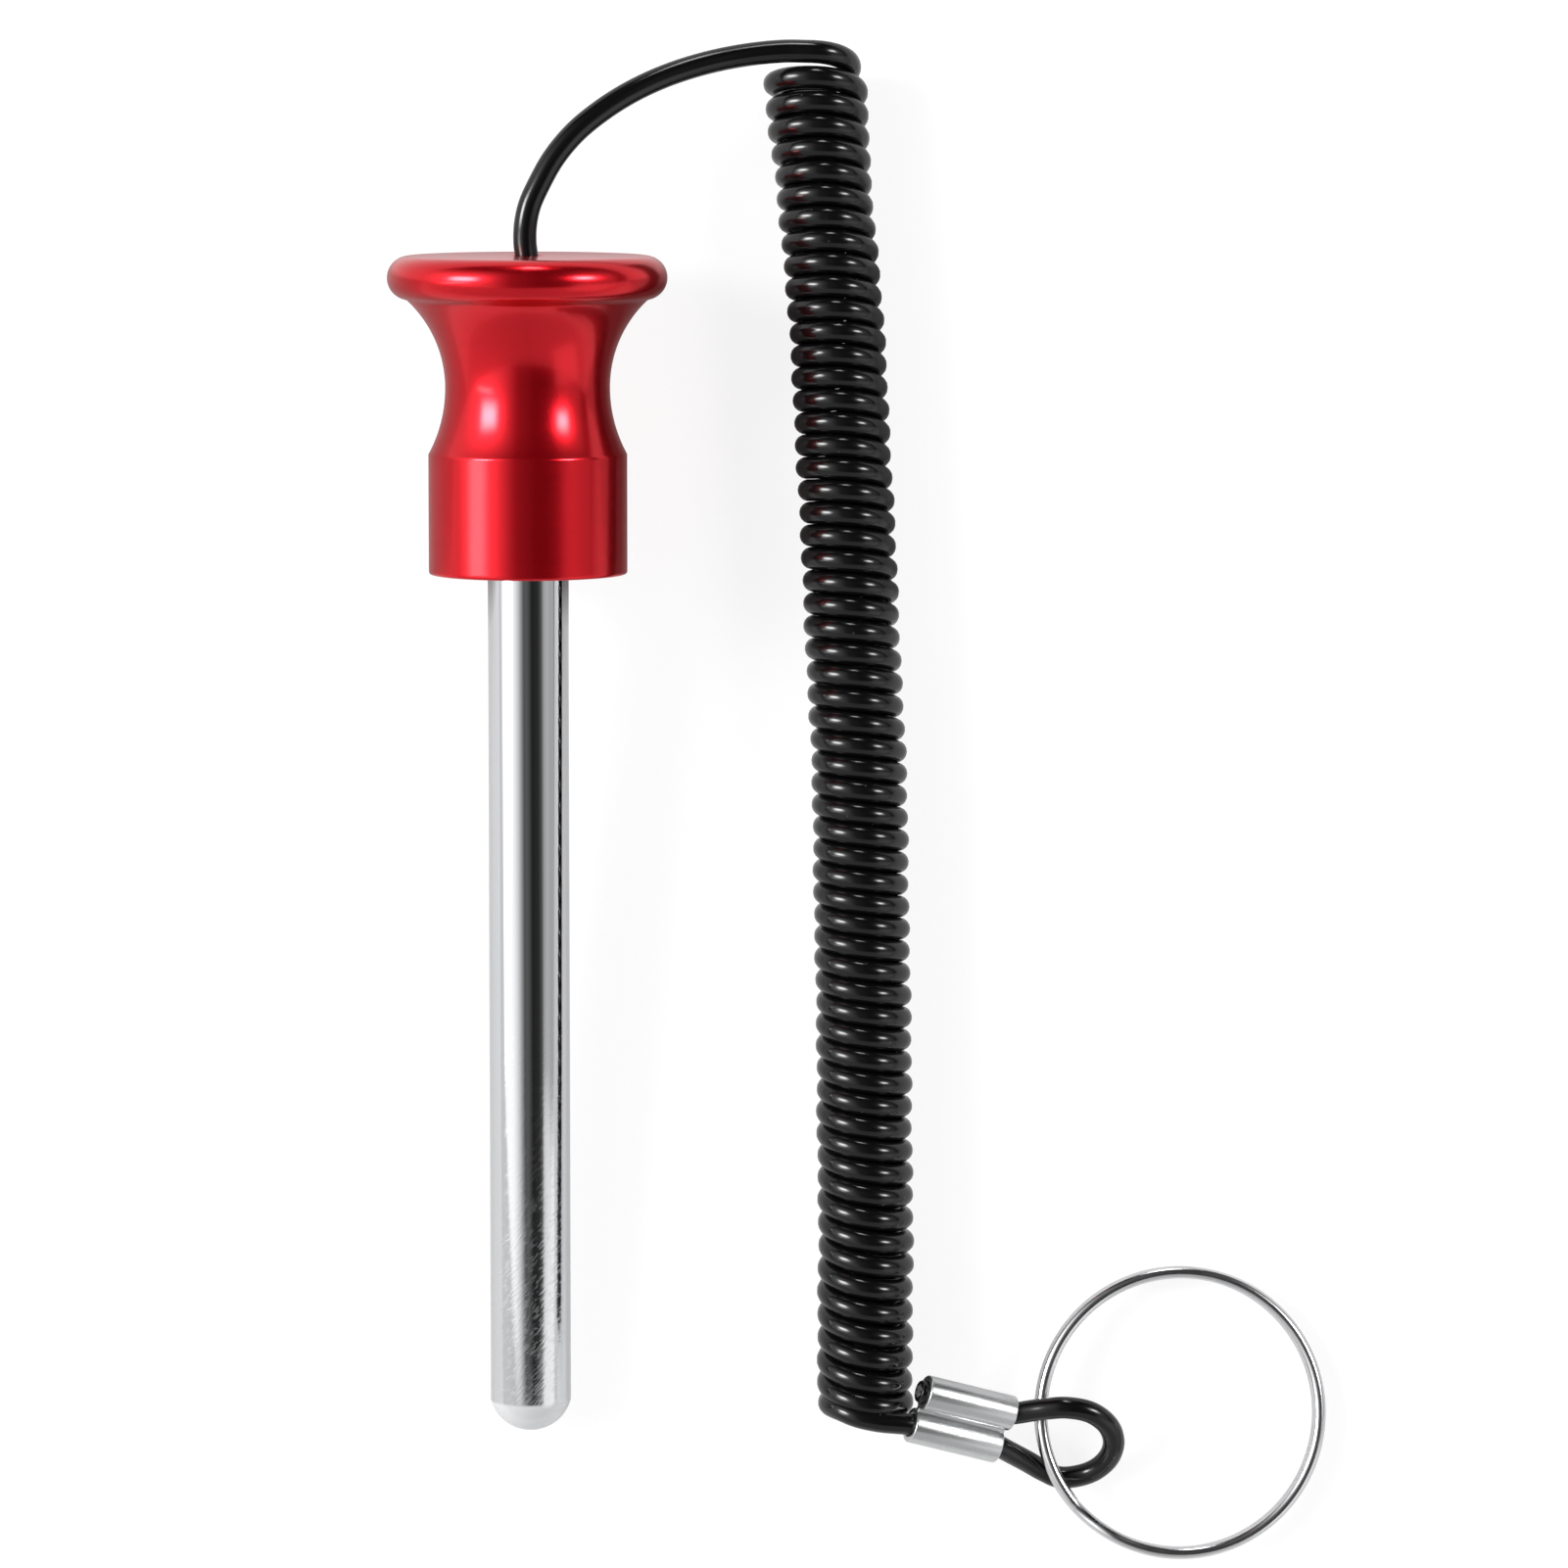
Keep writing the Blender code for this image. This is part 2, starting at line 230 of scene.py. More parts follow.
# The first turns aren't as even: (turn, extra reach to each side).
FIRST_TURNS = [
    (0, 0.0),
    (0.25, -0.15),
    (0.75, 0.42),
    (2.25, 0.36),
    (3.25, 0.25),
    (5, 0.0),
]
# Yaw and fan, in radians for each mm from the y where they are nothing.
YAW_A_MM, YAW_MID = 0.00117, 32.3
FAN_A_MM, FAN_MID = 0.003, 19.3


def on_turn(x, y, degrees):
    """A point on the coil's strand: 0 degrees is its top, 90 its +X side."""
    a = math.radians(degrees)
    return Vector((x + STRAND_R * math.sin(a), y, COIL_R + STRAND_R * math.cos(a)))


def coil_point(turn):
    """The strand's place after this many turns. The bent coil fans its turns:
    their tops lean outwards at both ends, and each turn also yaws a little. No
    coil is perfect, so each turn wanders sideways by some hundredths."""
    y = between(TURN_PLACES, turn)
    stray = 0.07 * math.sin(1.7 * turn) + 0.05 * math.sin(0.61 * turn + 1.0)
    point = on_turn(between(COIL_MIDDLE, y) + stray, y, 360 * turn)
    angle = 2 * math.pi * turn
    yaw = YAW_A_MM * (y - YAW_MID) * STRAND_R * math.sin(angle)
    fan = FAN_A_MM * (y - FAN_MID) * STRAND_R * math.cos(angle)
    wide = between(FIRST_TURNS, min(turn, FIRST_TURNS[-1][0])) * math.sin(angle)
    return point + Vector((wide, yaw + fan, 0))


coil_points = [
    coil_point(k / STEPS_A_TURN) for k in range(1, int(TURNS * STEPS_A_TURN))
]
print("coil points:", len(coil_points))

# %% The lead and the tail
FERRULE_LENGTH, HALF_APART = 12.0, 2.395
ferrule_mid = Vector((53.55, -71.8, 8.55))
ferrule_dir = Vector((10.64, -2.94, -4.0)).normalized()
across = Vector((1.7, 4.7, 1.9))
across = (across - ferrule_dir * across.dot(ferrule_dir)).normalized()
LOOP_MID, LOOP_R, LOOP_ROLL = Vector((66.69, -75.08, 5.1)), 6.0, math.radians(38.2)


def in_barrel(side, along):
    """A point on a barrel's axis: side -1 is the lower one, along -1 to 1."""
    return (
        ferrule_mid
        + across * side * HALF_APART
        + ferrule_dir * along * FERRULE_LENGTH / 2
    )


def on_loop(degrees):
    """A point of the end loop: 0 degrees is its far end, 90 its raised side."""
    a = math.radians(degrees)
    return LOOP_MID + LOOP_R * (
        math.cos(a) * Vector((1, 0, 0))
        + math.sin(a) * Vector((0, math.cos(LOOP_ROLL), math.sin(LOOP_ROLL)))
    )


lead = [on_axis(13.8), on_axis(9.0), on_axis(4.0)] + smooth(
    [
        on_axis(0.0, -0.08),
        on_axis(-1.6, -0.26),
        (-0.2, 75.9, 17.78),
        (0.3, 78.3, 17.88),
        (1.5, 81.0, 17.87),
        (3.3, 84.2, 17.67),
        (5.9, 87.35, 17.2),
        (9.1, 90.05, 16.45),
        (12.7, 92.4, 15.5),
        (17.0, 94.5, 14.25),
        (22.0, 96.2, 12.85),
        (27.0, 97.3, 11.55),
        (31.5, 97.8, 10.8),
        coil_point(0.0),
    ],
    5,
)
tail = (
    smooth(
        [
            coil_points[-1],
            coil_point(TURNS),
            on_turn(41.75, -70.2, 290),
            on_turn(41.75, -70.65, 320),
            on_turn(41.75, -71.3, 345),
            (43.2, -71.9, 10.5),
            in_barrel(-1, -1),
            in_barrel(-1, -0.5),
        ],
        5,
    )[5:-5]
    + [in_barrel(-1, -0.33), in_barrel(-1, 0), in_barrel(-1, 0.5)]
    + smooth(
        [
            in_barrel(-1, 0.7),
            in_barrel(-1, 1),
            (59.7, -76.3, 4.45),
            (61.9, -77.6, 2.85),
            (64.05, -78.9, 1.72),
            on_loop(-95),
            on_loop(-60),
            on_loop(-30),
            on_loop(0),
            on_loop(30),
            on_loop(60),
            on_loop(90),
            (64.6, -70.5, 8.45),
            (62.5, -70.82, 7.78),
            (60.9, -71.12, 7.38),
            in_barrel(1, 1),
            in_barrel(1, 0.7),
        ],
        6,
    )
    + [in_barrel(1, 0), in_barrel(1, -1)]
)
PAST_SLEEVE = 0.8
cut_end = in_barrel(1, -1) - ferrule_dir * PAST_SLEEVE
tail += [cut_end + ferrule_dir * 0.14, cut_end + ferrule_dir * 0.04, cut_end]
route = lead + coil_points + tail
cable_length = sum((b - a).length for a, b in zip(route, route[1:]))
print("cable length in mm:", round(cable_length), "points:", len(route))

# %% [markdown]
# ## The cable
#
# A curve with a round bevel is a tube of one thickness along its whole route,
# which is what a coated cable is. On the free lead the jacket is drawn 5 %
# thicker than in the coil, and over the first four turns that goes back to
# nothing. The last points get a smaller radius, so the cut end has the slightly
# rolled edge that side cutters leave.


# %% Draw a wire along a route
def draw_wire(name, places, radius, sides, shares):
    """A tube along the places. shares are (index, share of the radius) pairs
    for the points where it is thicker or thinner."""
    bpy.ops.curve.primitive_nurbs_path_add()
    obj = bpy.context.object
    obj.name = obj.data.name = name
    obj.data.splines.clear()
    line = obj.data.splines.new("POLY")
    line.points.add(len(places) - 1)
    for point, place in zip(line.points, places):
        point.co = (*(Vector(place) * MM), 1)
        point.radius = 1.0
    for index, share in shares:
        line.points[index].radius = share
    line.use_smooth = True
    obj.data.twist_mode = "MINIMUM"
    obj.data.bevel_depth = radius * MM
    obj.data.bevel_resolution = sides // 2 - 2
    obj.data.use_fill_caps = True
    return obj


LEAD_EXTRA, TAPER = 0.05, 4 * STEPS_A_TURN
thicker_lead = [(k, 1 + LEAD_EXTRA) for k in range(len(lead))] + [
    (len(lead) + k, 1 + LEAD_EXTRA - LEAD_EXTRA * k / TAPER) for k in range(TAPER)
]
cut_edge = [(-1, 0.86), (-2, 0.96)]
coiled_cable = draw_wire(
    "coiled_cable", route, CABLE_R, sides=18, shares=thicker_lead + cut_edge
)
print("cable is thicker over", len(thicker_lead), "points")

# %% [markdown]
# ### The strands at the cut end
#
# A coated cable has a steel rope inside its jacket. At the cut end seven
# strands show: one in the middle and six round it. One short rod with a
# rounded end is made and copied.


# %% Strand ends
def turn_to(direction):
    """The rotation that turns +Z to this direction."""
    return Vector((0, 0, 1)).rotation_difference(direction).to_matrix().to_4x4()


STRAND_R, STRAND_LENGTH = 0.27, 0.42
strand_ends = []
for index in range(7):
    reach = 0.0 if index == 0 else 2 * STRAND_R + 0.02
    angle = math.radians(60 * index + 12)
    place = (
        cut_end
        + turn_to(ferrule_dir)
        @ Vector((reach * math.cos(angle), reach * math.sin(angle), 0.12))
    )
    bpy.ops.mesh.primitive_cylinder_add(
        vertices=14,
        radius=STRAND_R * MM,
        depth=STRAND_LENGTH * MM,
        location=place * MM,
    )
    rod = bpy.context.object
    rod.rotation_euler = turn_to(ferrule_dir).to_euler()
    rounding = rod.modifiers.new("rounding", "BEVEL")
    rounding.width = 0.06 * MM
    rounding.segments = 2
    bpy.ops.object.modifier_apply(modifier="rounding")
    strand_ends.append(rod)
for rod in strand_ends:
    rod.select_set(True)
bpy.context.view_layer.objects.active = strand_ends[0]
bpy.ops.object.join()
cable_core = bpy.context.object
cable_core.name = cable_core.data.name = "cable_core_end"
bpy.ops.object.transform_apply(location=True, rotation=True, scale=True)
bpy.ops.object.shade_smooth_by_angle(angle=math.radians(40))
bpy.ops.object.select_all(action="DESELECT")
print("strands at the cut end:", len(strand_ends))

# %% [markdown]
# ## Turning a piece
#
# The knob, the pin and the magnet are all made on a lathe, so each is a
# profile spun about an axis. The profile is drawn as one would by hand: a
# single vertex is placed and extruded from corner to corner. Then it is spun
# all the way round and its seam is merged.


# %% The lathe
def turn_on_lathe(name, profile, steps, closed, edge):
    """Spins a profile of (radius, depth below the top face) about the leaning
    axis. edge is the radius that breaks its sharp corners."""
    bpy.ops.object.select_all(action="DESELECT")
    bpy.ops.mesh.primitive_plane_add(size=MM)
    obj = bpy.context.object
    obj.name = obj.data.name = name
    bpy.ops.object.mode_set(mode="EDIT")
    bpy.ops.mesh.select_all(action="SELECT")
    bpy.ops.mesh.merge(type="CENTER")
    r, depth = profile[0]
    bpy.ops.transform.translate(value=(r * MM, 0, -depth * MM))
    corners = profile[1:] + ([profile[0]] if closed else [])
    for next_r, next_depth in corners:
        bpy.ops.mesh.extrude_region_move(
            TRANSFORM_OT_translate={
                "value": ((next_r - r) * MM, 0, (depth - next_depth) * MM)
            }
        )
        r, depth = next_r, next_depth
    bpy.ops.mesh.select_all(action="SELECT")
    bpy.ops.mesh.remove_doubles(threshold=1e-7)
    bpy.ops.mesh.spin(
        steps=steps, angle=2 * math.pi, center=(0, 0, 0), axis=(0, 0, 1)
    )
    bpy.ops.mesh.select_all(action="SELECT")
    bpy.ops.mesh.remove_doubles(threshold=1e-6)
    bpy.ops.mesh.normals_make_consistent(inside=False)
    bpy.ops.object.mode_set(mode="OBJECT")
    if edge:
        broken = obj.modifiers.new("broken_edges", "BEVEL")
        broken.width = edge * MM
        broken.segments = 3
        broken.limit_method = "ANGLE"
        broken.angle_limit = math.radians(35)
        bpy.ops.object.modifier_apply(modifier="broken_edges")
    obj.location = FACE * MM
    obj.rotation_euler = (LEAN - math.pi / 2, 0, 0)
    bpy.ops.object.transform_apply(location=True, rotation=True, scale=True)
    bpy.ops.object.shade_smooth_by_angle(angle=math.radians(38))
    bpy.ops.object.select_all(action="DESELECT")
    print(name, "has", len(obj.data.polygons), "faces")
    return obj


def arc(radius, centre_r, centre_depth, start, end, steps):
    """Points of a circle in a profile: 0 degrees points out, 90 to the top."""
    found = []
    for k in range(steps + 1):
        a = math.radians(start + (end - start) * k / steps)
        found.append(
            (centre_r + radius * math.cos(a), centre_depth - radius * math.sin(a))
        )
    return found


# %% [markdown]
# ## The knob
#
# The knob is turned from aluminium bar: a flat top, a round lip that the
# fingers pull on, a long hollow waist and a short straight skirt. Each hollow
# side is one arc of a form tool, and both run along the axis where they meet.
# A drilled hole in the top lets the cable in, and a recess below holds a ring
# magnet. A short face beside each edge of the skirt keeps the shading of its
# long side straight.

# %% Knob profile
CREASE_R, WAIST_R, WAIST_DEPTH = 14.9, 10.15, 16.2
SKIRT_R, SKIRT_TOP, KNOB_HEIGHT = 12.25, 24.3, 39.2
RIM_ROUND, TOP_BREAK = 0.35, 0.4
RECESS_R, RECESS_TOP = 10.0, 34.2
SEAT_R, SEAT_TOP = 5.3, 33.2
BORE_R, BORE_TOP = 4.3, 6.0
CABLE_HOLE_R = 1.675


def hollow(end_r, end_depth, steps):
    """The arc from the waist to an end, the waist left out."""
    out, along = end_r - WAIST_R, end_depth - WAIST_DEPTH
    radius = (out**2 + along**2) / (2 * out)
    whole = math.asin(abs(along) / radius)
    found = []
    for k in range(1, steps + 1):
        a = whole * k / steps
        found.append(
            (
                WAIST_R + radius * (1 - math.cos(a)),
                WAIST_DEPTH + math.copysign(radius * math.sin(a), along),
            )
        )
    return found


crease = math.degrees(math.acos((CREASE_R - LIP_R) / LIP_ROUND))
crease_depth = LIP_ROUND * (1 + math.sin(math.radians(crease)))
knob_profile = (
    arc(LIP_ROUND, LIP_R, LIP_ROUND, 90, -crease, 26)
    + hollow(CREASE_R, crease_depth, 26)[-2::-1]
    + [(WAIST_R, WAIST_DEPTH)]
    + hollow(SKIRT_R - 0.12, SKIRT_TOP - 0.1, 20)
    + [(SKIRT_R, SKIRT_TOP + 0.12), (SKIRT_R, SKIRT_TOP + 0.3)]
    + [(SKIRT_R, KNOB_HEIGHT - 0.6), (SKIRT_R, KNOB_HEIGHT - RIM_ROUND)]
    + arc(RIM_ROUND, SKIRT_R - RIM_ROUND, KNOB_HEIGHT - RIM_ROUND, -20, -90, 4)
    + [
        (RECESS_R, KNOB_HEIGHT),
        (RECESS_R, RECESS_TOP),
        (SEAT_R, RECESS_TOP),
        (SEAT_R, SEAT_TOP),
        (BORE_R, SEAT_TOP),
        (BORE_R, BORE_TOP),
        (CABLE_HOLE_R, BORE_TOP),
        (CABLE_HOLE_R, TOP_BREAK),
        (CABLE_HOLE_R + TOP_BREAK, 0.0),
    ]
)
turned_knob = turn_on_lathe(
    "turned_knob", knob_profile, steps=160, closed=True, edge=0
)

# %% [markdown]
# ## The pin and the magnet
#
# The pin is ground rod with a domed end, chromed all over. The dome meets the
# straight part in a faint edge, so the two are drawn as a straight line and an
# arc that aren't tangent. Its shank goes up into the knob.

# %% Pin
SHANK_R, SHANK_TOP, SHANK_BREAK, SHOULDER = 4.0, 17.5, 0.5, 33.5
DOME_STEPS = 20
dome_edge = math.asin(PIN_R / DOME_R)
dome = [
    (
        DOME_R * math.sin(dome_edge * k / DOME_STEPS),
        LENGTH - DOME_R + DOME_R * math.cos(dome_edge * k / DOME_STEPS),
    )
    for k in range(DOME_STEPS - 1, 0, -1)
]
pin_profile = [
    (0, SHANK_TOP),
    (SHANK_R - SHANK_BREAK, SHANK_TOP),
    (SHANK_R, SHANK_TOP + SHANK_BREAK),
    (SHANK_R, SHOULDER),
    (PIN_R, SHOULDER),
    (PIN_R, 60.0),
    (PIN_R, 100.0),
    (PIN_R, DOME_START),
    *dome,
    (0, LENGTH),
]
chromed_pin = turn_on_lathe(
    "chromed_pin", pin_profile, steps=128, closed=False, edge=0
)

# %% Ring magnet
magnet_profile = [(9.7, 34.5), (9.7, 38.9), (5.3, 38.9), (5.3, 34.5)]
ring_magnet = turn_on_lathe(
    "ring_magnet", magnet_profile, steps=96, closed=True, edge=0.25
)

# %% [markdown]
# ## The pressed sleeve
#
# The sleeve is drawn aluminium tube in the form of an hourglass: two barrels
# side by side with a web between them. Its section is the same all along, so
# it is a flat outline with two holes, given a thickness. The curve's own bevel
# rounds the sawn ends a little. The press leaves a deep groove between the
# barrels, so the web is thin.

# %% Sleeve
BARREL_R, HOLE_R, WEB = 2.195, 1.43, 0.8
ROUNDING, BARREL_STEPS = 0.2, 40
opening = math.asin(WEB / 2 / BARREL_R)
outline = []
for side in (1, -1):
    for k in range(BARREL_STEPS + 1):
        a = -math.pi + opening + k * 2 * (math.pi - opening) / BARREL_STEPS
        outline.append(
            (
                side * (HALF_APART + BARREL_R * math.cos(a)),
                side * BARREL_R * math.sin(a),
            )
        )
bores = [
    [
        (
            side * HALF_APART + HOLE_R * math.cos(2 * math.pi * k / BARREL_STEPS),
            HOLE_R * math.sin(2 * math.pi * k / BARREL_STEPS),
        )
        for k in range(BARREL_STEPS)
    ]
    for side in (1, -1)
]
bpy.ops.curve.primitive_bezier_circle_add(radius=MM)
pressed_sleeve = bpy.context.object
pressed_sleeve.name = pressed_sleeve.data.name = "pressed_sleeve"
section = pressed_sleeve.data
section.splines.clear()
section.dimensions = "2D"
section.fill_mode = "BOTH"
for ring_of_points in [outline] + bores:
    line = section.splines.new("POLY")
    line.points.add(len(ring_of_points) - 1)
    for point, (x, y) in zip(line.points, ring_of_points):
        point.co = (x * MM, y * MM, 0, 1)
    line.use_cyclic_u = True
section.extrude = (FERRULE_LENGTH / 2 - ROUNDING) * MM
section.bevel_depth = ROUNDING * MM
section.bevel_resolution = 3
section.offset = -ROUNDING * MM
bpy.ops.object.convert(target="MESH")
sleeve_axes = Matrix((across, ferrule_dir.cross(across), ferrule_dir))
pressed_sleeve.matrix_world = (
    Matrix.Translation(ferrule_mid * MM) @ sleeve_axes.transposed().to_4x4()
)
bpy.ops.object.transform_apply(location=True, rotation=True, scale=True)
bpy.ops.object.mode_set(mode="EDIT")
bpy.ops.mesh.select_all(action="SELECT")
bpy.ops.mesh.remove_doubles(threshold=1e-6)
bpy.ops.mesh.normals_make_consistent(inside=False)
bpy.ops.object.mode_set(mode="OBJECT")
bpy.ops.object.shade_smooth_by_angle(angle=math.radians(35))
bpy.ops.object.select_all(action="DESELECT")
print("sleeve faces:", len(pressed_sleeve.data.polygons))

# %% [markdown]
# ## The split ring
#
# A split ring is one spring wire wound in two close turns. Where the first
# turn ends it steps over to the second level, and both ends lie beside that
# step. It rests with one side on the table and the other on the cable's loop.
# LINK is the place inside the loop where the ring's wire passes.

# %% Split ring
WIRE_R, RING_R, RING_PITCH = 0.75, 17.5, 1.62
RING_JOG = math.radians(22)
RING_HIGH, RING_LOW = 4.0, 0.8
LINK_X, LINK_Y = 63.6, -71.55
LINK_TURN, GAP_AT = math.radians(25), math.radians(52)
ring_slope = Vector((-0.9035, -0.4286, 0))
ring_tilt = math.asin((RING_HIGH - RING_LOW) / (2 * RING_R))
up_slope = ring_slope * math.cos(ring_tilt) + Vector((0, 0, math.sin(ring_tilt)))
level = Vector((0, 0, 1)).cross(ring_slope)
normal = up_slope.cross(level)
to_link = up_slope * math.cos(LINK_TURN) - level * math.sin(LINK_TURN)
tangent = normal.cross(to_link)
LINK = Vector(
    (
        LINK_X,
        LINK_Y,
        (RING_HIGH + RING_LOW) / 2 + RING_R * to_link.z + normal.z * RING_PITCH / 2,
    )
)
SPANS = 300
ring_route = []
for k in range(SPANS + 1):
    a = RING_JOG / 2 + k * (4 * math.pi - RING_JOG) / SPANS
    t = min(1, max(0, (a - 2 * math.pi + RING_JOG / 2) / RING_JOG))
    height = RING_PITCH * (t * t * (3 - 2 * t) - 0.5)
    ring_route.append(
        LINK
        + to_link * RING_R * (math.cos(a + GAP_AT) - 1)
        + tangent * RING_R * math.sin(a + GAP_AT)
        + normal * height
    )
cut_ends = [(0, 0.8), (-1, 0.8)]
split_wire = draw_wire("split_wire", ring_route, WIRE_R, sides=20, shares=cut_ends)
bpy.ops.object.convert(target="MESH")
split_wire = bpy.context.object
bpy.ops.object.shade_smooth_by_angle(angle=math.radians(40))
bpy.ops.object.select_all(action="DESELECT")
print("ring tilt in degrees:", round(math.degrees(ring_tilt), 1))

# %% [markdown]
# ## Red anodised aluminium
#
# Anodising grows a clear, dyed layer on the aluminium. The metal below still
# reflects, but only in the dye's colour, while the layer's own surface adds a
# weak white gloss. So this is a metal with a red base colour and a thin coat.
# The lathe leaves fine rings. The real ones are too fine to show, so they are
# drawn about 0.3 mm apart and very shallow. They follow the distance from the
# axis on the flat top and the height on the sides, so both are fed to the
# noise textures. The third coordinate is held off zero, where such noise is
# weak. A fine noise makes the bump, and a broad one makes small changes of
# colour and roughness.


# %% Coordinates along the leaning axis
OFF_ZERO = 0.37 * MM


def along_axis(tree):
    """Object coordinates in metres, turned so that Z runs along the leaning
    axis and is 0 at the knob's top face."""
    place = add_node(tree, "ShaderNodeTexCoord")
    upright = add_node(
        tree,
        "ShaderNodeVectorRotate",
        {"rotation_type": "X_AXIS", "Angle": math.pi / 2 - LEAN, "Center": FACE * MM},
        {"Vector": place.outputs["Object"]},
    )
    from_face = add_node(
        tree,
        "ShaderNodeVectorMath",
        {"operation": "SUBTRACT", 1: FACE * MM},
        {0: upright.outputs["Vector"]},
    )
    return from_face.outputs["Vector"]


def lathe_rings(tree):
    """(radius, a constant, height): the same all the way round the axis."""
    from_axis = along_axis(tree)
    flat = add_node(
        tree,
        "ShaderNodeVectorMath",
        {"operation": "MULTIPLY", 1: (1, 1, 0)},
        {0: from_axis},
    )
    radius = add_node(
        tree,
        "ShaderNodeVectorMath",
        {"operation": "LENGTH"},
        {0: flat.outputs["Vector"]},
    )
    height = add_node(tree, "ShaderNodeSeparateXYZ", {}, {"Vector": from_axis})
    rings = add_node(
        tree,
        "ShaderNodeCombineXYZ",
        {"Y": OFF_ZERO},
        {"X": radius.outputs["Value"], "Z": height.outputs["Z"]},
    )
    return rings.outputs["Vector"]


# %% Anodised red
anodised, tree, shader = new_material("anodised_red_aluminium")
rings = lathe_rings(tree)
tool_marks = add_node(
    tree,
    "ShaderNodeTexNoise",
    {"Scale": 3500.0, "Detail": 1.0},
    {"Vector": rings},
)
broad_marks = add_node(
    tree,
    "ShaderNodeTexNoise",
    {"Scale": 900.0, "Detail": 1.0},
    {"Vector": rings},
)
roughness = add_node(
    tree,
    "ShaderNodeMapRange",
    {"From Min": 0.3, "From Max": 0.7, "To Min": 0.23, "To Max": 0.262},
    {"Value": broad_marks.outputs["Fac"]},
)
marks_bump = add_node(
    tree,
    "ShaderNodeBump",
    {"Strength": 0.12, "Distance": 0.004 * MM},
    {"Height": tool_marks.outputs["Fac"]},
)
dye = add_node(
    tree,
    "ShaderNodeMix",
    {"data_type": "RGBA", 6: linear("#de1122"), 7: linear("#d40e1d")},
    {0: broad_marks.outputs["Fac"]},
)
tree.links.new(dye.outputs[2], shader.inputs["Base Color"])
tree.links.new(roughness.outputs["Result"], shader.inputs["Roughness"])
tree.links.new(marks_bump.outputs["Normal"], shader.inputs["Normal"])
shader.inputs["Metallic"].default_value = 0.86
shader.inputs["Coat Weight"].default_value = 0.33
shader.inputs["Coat Roughness"].default_value = 0.1
print("anodised nodes:", len(tree.nodes))

# %% [markdown]
# ## Chromed steel
#
# Bright chrome over ground steel mirrors its surroundings almost without blur.
# Its colour is a light neutral grey. Handling leaves fine hairlines: near the
# tip they run slanting across the rod, where it is pushed into the plates. They
# are drawn about 0.2 mm wide, coarser than the real ones, which would not show.
# The dome is satin: rougher than the rod, and less of a mirror.

# %% Chrome of the pin
chrome, tree, shader = new_material("chromed_ground_steel")
from_axis = along_axis(tree)
slanted = add_node(
    tree,
    "ShaderNodeMapping",
    {
        "vector_type": "TEXTURE",
        "Rotation": (0, math.radians(-50), 0),
        "Scale": (0.9 * MM, 0.9 * MM, 0.2 * MM),
    },
    {"Vector": from_axis},
)
hairlines = add_node(
    tree,
    "ShaderNodeTexNoise",
    {"Scale": 1.0, "Detail": 2.0},
    {"Vector": slanted.outputs["Vector"]},
)
depth = add_node(tree, "ShaderNodeSeparateXYZ", {}, {"Vector": from_axis})


def down_the_pin(start, end, before, after):
    """A value that changes between two depths below the knob's top face."""
    change = add_node(
        tree,
        "ShaderNodeMapRange",
        {
            "From Min": -start * MM,
            "From Max": -end * MM,
            "To Min": before,
            "To Max": after,
        },
        {"Value": depth.outputs["Z"]},
    )
    return change.outputs["Result"]


DOME_EDGE = (142.2, 142.6)
roughness = down_the_pin(*DOME_EDGE, 0.05, 0.24)
mirroring = down_the_pin(*DOME_EDGE, 1.0, 0.4)
scratched = add_node(
    tree,
    "ShaderNodeMath",
    {"operation": "MULTIPLY"},
    {0: down_the_pin(90, 122, 0.03, 1.0), 1: down_the_pin(*DOME_EDGE, 1.0, 0.0)},
)
in_scratch = add_node(
    tree,
    "ShaderNodeMapRange",
    {"From Min": 0.52, "From Max": 0.6, "To Min": 0.0, "To Max": 0.2},
    {"Value": hairlines.outputs["Fac"]},
)
dulled = add_node(
    tree,
    "ShaderNodeMath",
    {"operation": "MULTIPLY_ADD"},
    {
        0: in_scratch.outputs["Result"],
        1: scratched.outputs["Value"],
        2: roughness,
    },
)
scratch_bump = add_node(
    tree,
    "ShaderNodeBump",
    {"Distance": 0.013 * MM},
    {"Height": hairlines.outputs["Fac"], "Strength": scratched.outputs["Value"]},
)
shader.inputs["Base Color"].default_value = linear("#dcdddf")
tree.links.new(mirroring, shader.inputs["Metallic"])
tree.links.new(dulled.outputs["Value"], shader.inputs["Roughness"])
tree.links.new(scratch_bump.outputs["Normal"], shader.inputs["Normal"])
print("chrome nodes:", len(tree.nodes))

# %% [markdown]
# ## The other metals
#
# The ring is polished spring wire with a bright plating. The sleeve is drawn
# aluminium, so faint lines run along it, with small pits from the press. The
# magnet has a duller nickel skin, the crimp and the strands are plain steel.


# %% Four plain metals
def plain_metal(name, hex_colour, roughness, grain_mm, depth_mm):
    """A metal with an even grain of this size and depth."""
    made, tree, shader = new_material(name)
    place = add_node(tree, "ShaderNodeTexCoord")
    grain = add_node(
        tree,
        "ShaderNodeTexNoise",
        {"Scale": 1 / (grain_mm * MM), "Detail": 3.0},
        {"Vector": place.outputs["Object"]},
    )
    uneven = add_node(
        tree,
        "ShaderNodeMapRange",
        {"To Min": roughness * 0.8, "To Max": roughness * 1.25},
        {"Value": grain.outputs["Fac"]},
    )
    bump = add_node(
        tree,
        "ShaderNodeBump",
        {"Strength": 0.3, "Distance": depth_mm * MM},
        {"Height": grain.outputs["Fac"]},
    )
    shader.inputs["Base Color"].default_value = linear(hex_colour)
    shader.inputs["Metallic"].default_value = 1.0
    tree.links.new(uneven.outputs["Result"], shader.inputs["Roughness"])
    tree.links.new(bump.outputs["Normal"], shader.inputs["Normal"])
    return made


